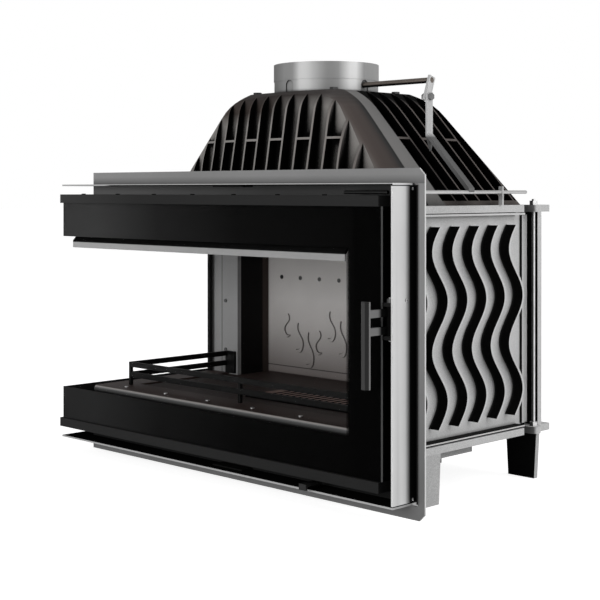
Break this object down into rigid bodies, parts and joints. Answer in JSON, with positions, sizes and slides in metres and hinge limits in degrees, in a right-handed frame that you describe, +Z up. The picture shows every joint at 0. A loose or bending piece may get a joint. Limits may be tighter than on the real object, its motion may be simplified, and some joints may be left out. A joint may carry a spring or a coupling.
{
  "type": "fireplace insert",
  "caption": "Corner wood-burning fireplace insert with an L-shaped glazed door, finned cast body on legs, ribbed dome, and a flue spigot with a rod-operated damper.",
  "frame": {"origin": "on the floor, under the middle of the outline's width and depth", "axes": "+X to the right as seen by someone who faces the door, +Y to the back, +Z up"},
  "size_m": [0.902, 0.539, 0.755],
  "materials": {
    "cast_grey": "grey stove paint, matte",
    "cast_dark": "dark stove paint, matte",
    "collar_iron": "machined, satin",
    "frame_grey": "grey stove paint, satin",
    "black_steel": "black stove paint, satin",
    "bright_steel": "plain steel",
    "handle_metal": "satin",
    "pane": "clear ceramic glass",
    "rope": "woven sealing rope"
  },
  "bodies": {
    "insert": {"base_plate": "cast_grey", "top_plate": "cast_grey", "right_side_plate": "cast_grey", "rear_plate": "cast_grey", "right_front_post": "cast_grey", "left_rear_post": "cast_grey", "lintel": "cast_grey", "threshold": "cast_grey", "front_right_leg": "cast_grey", "front_left_leg": "cast_grey", "rear_right_leg": "cast_grey", "rear_left_leg": "cast_grey", "hearth_sill": "cast_grey", "hearth_plate": "cast_grey", "dome": "cast_dark", "back_lining": "cast_dark", "right_lining": "cast_dark", "left_lining": "cast_dark", "smoke_baffle": "cast_dark", "flue_collar": "collar_iron", "frame_front": "frame_grey", "frame_left": "frame_grey", "lip_top": "frame_grey", "lip_bottom": "frame_grey", "lip_right": "frame_grey", "lip_rear": "frame_grey", "frame_clips": "black_steel", "airwash_front": "black_steel", "airwash_left": "black_steel", "log_guard": "black_steel", "air_box": "black_steel", "slider_rails": "black_steel", "ash_pan": "black_steel", "tie_bolts": "bright_steel", "dome_bolts": "bright_steel", "rod_bracket": "bright_steel", "striker": "bright_steel", "hinge_pins": "bright_steel", "lining_screws": "bright_steel"},
    "door": {"door_top_rail": "black_steel", "door_bottom_rail": "black_steel", "door_right_stile": "black_steel", "door_hinge_stile": "black_steel", "handle_bracket": "black_steel", "front_glass": "pane", "side_glass": "pane", "door_seal": "rope", "door_screws": "bright_steel"},
    "handle": {"handle_bar": "handle_metal", "handle_arms": "handle_metal", "handle_pin": "bright_steel", "latch_hook": "bright_steel"},
    "damper_control": {"control_rod": "bright_steel", "control_arm": "bright_steel", "crank_bolt": "bright_steel"},
    "damper": {"damper_shaft": "bright_steel", "damper_crank": "bright_steel", "damper_disc": "cast_dark"},
    "air_control": {"air_slider": "bright_steel"},
    "grate": {"grate": "cast_dark"}
  },
  "joints": [
    {"name": "door_swing", "type": "hinge", "parent": "insert", "child": "door", "pos_m": [-0.435, 0.1495, 0.28], "axis": [0, 0, -1], "range_deg": [0, 100]},
    {"name": "handle_turn", "type": "hinge", "parent": "door", "child": "handle", "pos_m": [0.409, -0.2125, 0.317], "axis": [0, 0, 1], "range_deg": [-18, 0]},
    {"name": "control_slide", "type": "slide", "parent": "insert", "child": "damper_control", "axis": [0, 1, 0], "range_m": [0, 0.0281]},
    {"name": "damper_turn", "type": "hinge", "parent": "insert", "child": "damper", "pos_m": [0.0235, 0.044, 0.7135], "axis": [1, 0, 0], "range_deg": [0, 50]},
    {"name": "air_slide", "type": "slide", "parent": "insert", "child": "air_control", "axis": [1, 0, 0], "range_m": [-0.02, 0.02]},
    {"name": "grate_lift", "type": "slide", "parent": "insert", "child": "grate", "axis": [0, 0, 1], "range_m": [0, 0.1]}
  ],
  "couplings": [
    {"joint": "damper_turn", "follows": "control_slide", "rad_per_m": 31}
  ]
}
